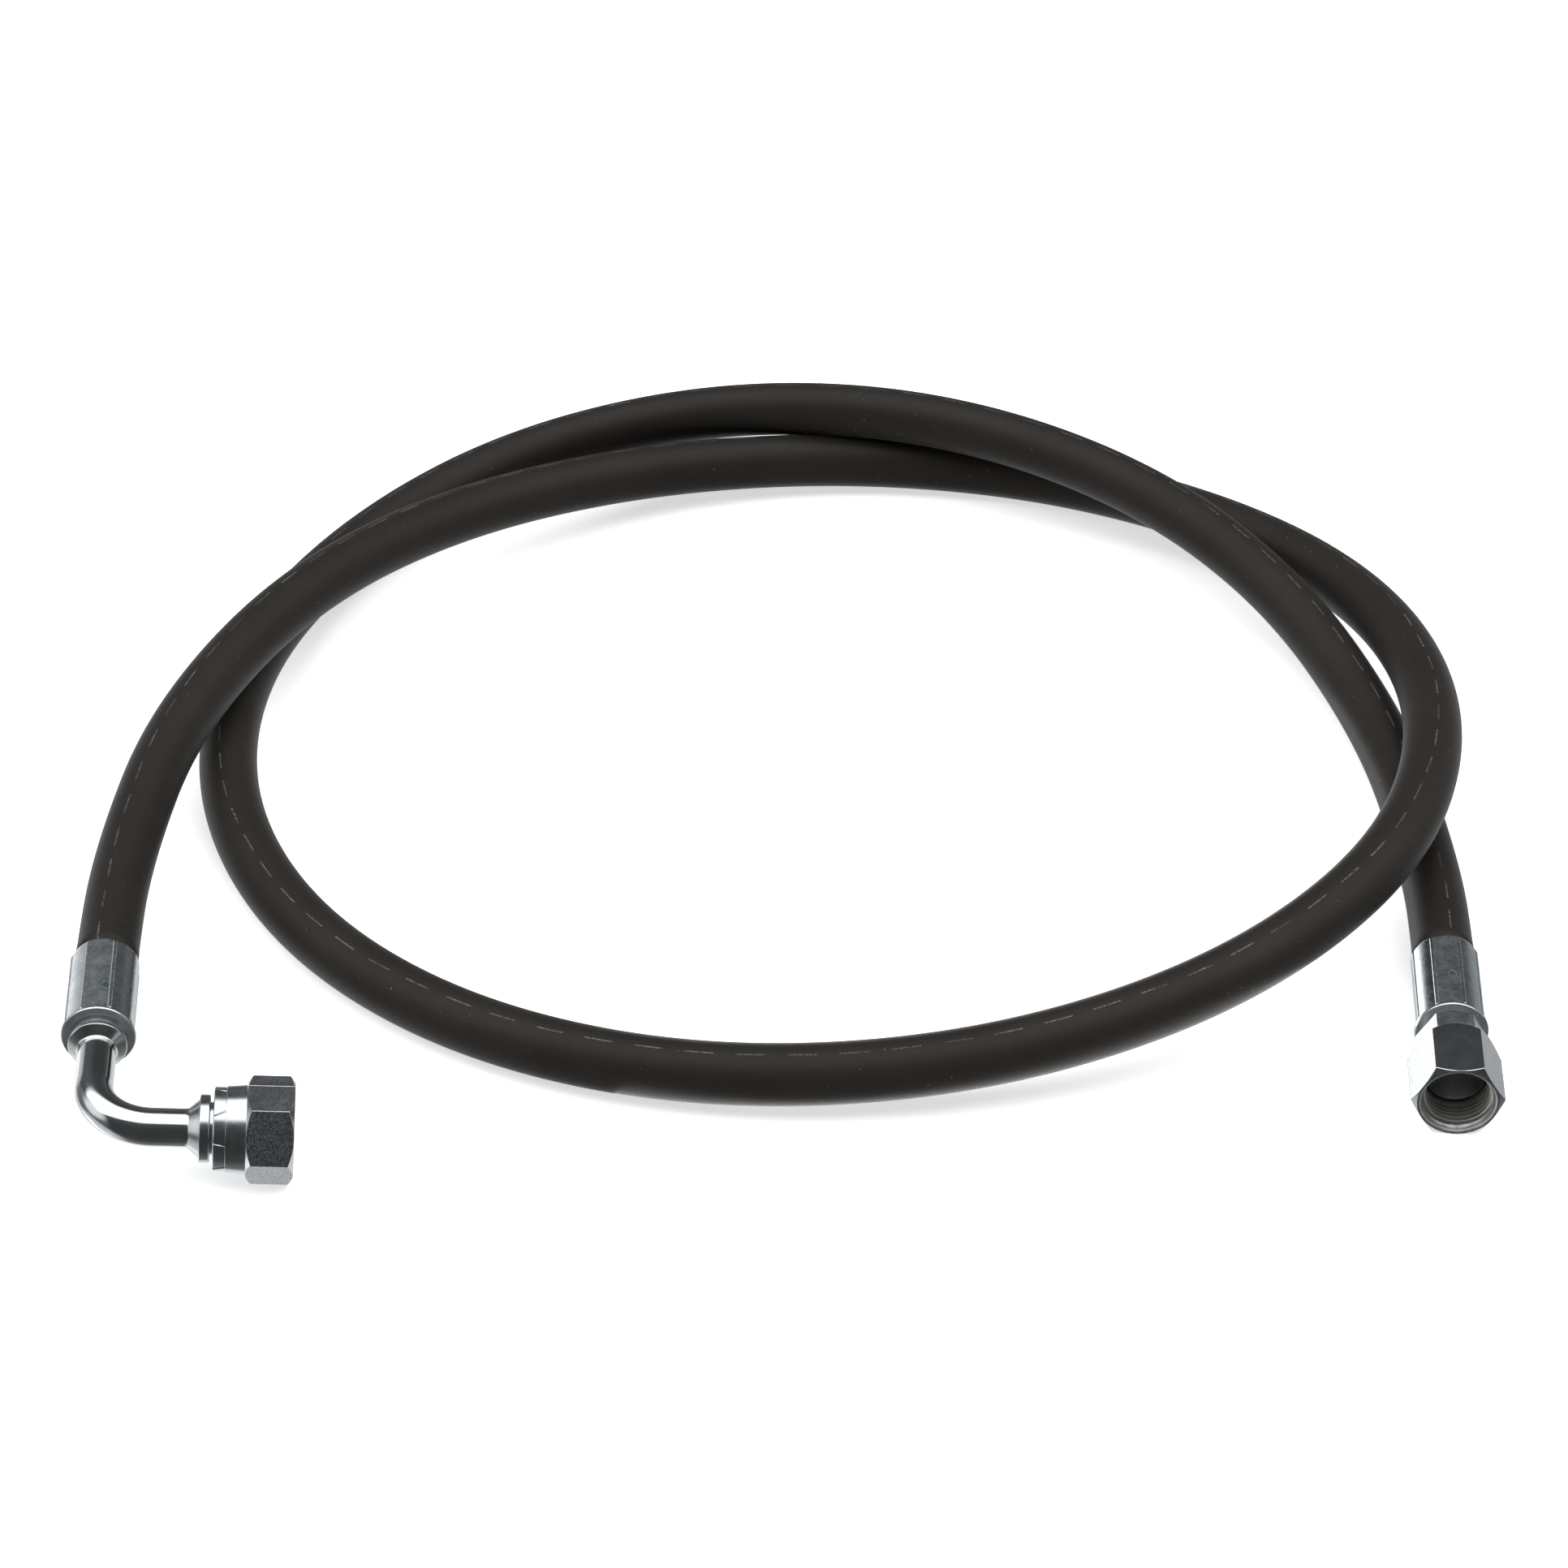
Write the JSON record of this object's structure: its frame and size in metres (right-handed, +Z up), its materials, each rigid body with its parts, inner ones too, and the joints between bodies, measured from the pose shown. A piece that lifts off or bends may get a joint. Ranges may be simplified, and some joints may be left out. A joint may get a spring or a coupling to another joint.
{
  "type": "hydraulic hose assembly",
  "caption": "Rubber-covered hydraulic hose lying in a loose coil, with a bent-tube swivel elbow crimped on one end and a straight swivel-nut fitting crimped on the other.",
  "frame": {"origin": "on the surface the assembly lies on, midway between the two end fittings (the middle of their bounding box)", "axes": "+Z up from the surface; +X from the elbow fitting towards the straight fitting; +Y away from the fittings, across the coil"},
  "size_m": [0.3979, 0.3782, 0.0382],
  "materials": {
    "cover_rubber": "matt black-brown oil-resistant cover",
    "braid_wire": "brass-coated high-tensile braiding wire",
    "separator_rubber": "matt thin layer between the braids",
    "liner_rubber": "smooth extruded nitrile liner",
    "plated_steel": "bright zinc plating with a faint blue-green tint",
    "spring_wire": "drawn spring wire",
    "braze": "plated-over braze fillet"
  },
  "bodies": {
    "hose_and_stems": {"hose_cover": "cover_rubber", "outer_wire_braid": "braid_wire", "braid_separator": "separator_rubber", "inner_wire_braid": "braid_wire", "hose_liner": "liner_rubber", "elbow_ferrule": "plated_steel", "elbow_hose_tail": "plated_steel", "elbow_pipe": "plated_steel", "tail_braze_fillet": "braze", "head_braze_fillet": "braze", "elbow_swivel_head": "plated_steel", "straight_ferrule": "plated_steel", "straight_stem": "plated_steel", "straight_retaining_wire": "spring_wire"},
    "elbow_nut": {"elbow_swivel_nut": "plated_steel"},
    "straight_nut": {"straight_swivel_nut": "plated_steel"}
  },
  "joints": [
    {"name": "elbow_nut_spin", "type": "hinge", "parent": "hose_and_stems", "child": "elbow_nut", "pos_m": [-0.13474, -0.03035, 0.01323], "axis": [0.9933, 0.0695, -0.0924], "continuous": true},
    {"name": "straight_nut_spin", "type": "hinge", "parent": "hose_and_stems", "child": "straight_nut", "pos_m": [0.18274, -0.00686, 0.01128], "axis": [-0.0652, -0.9979, 0], "continuous": true}
  ]
}
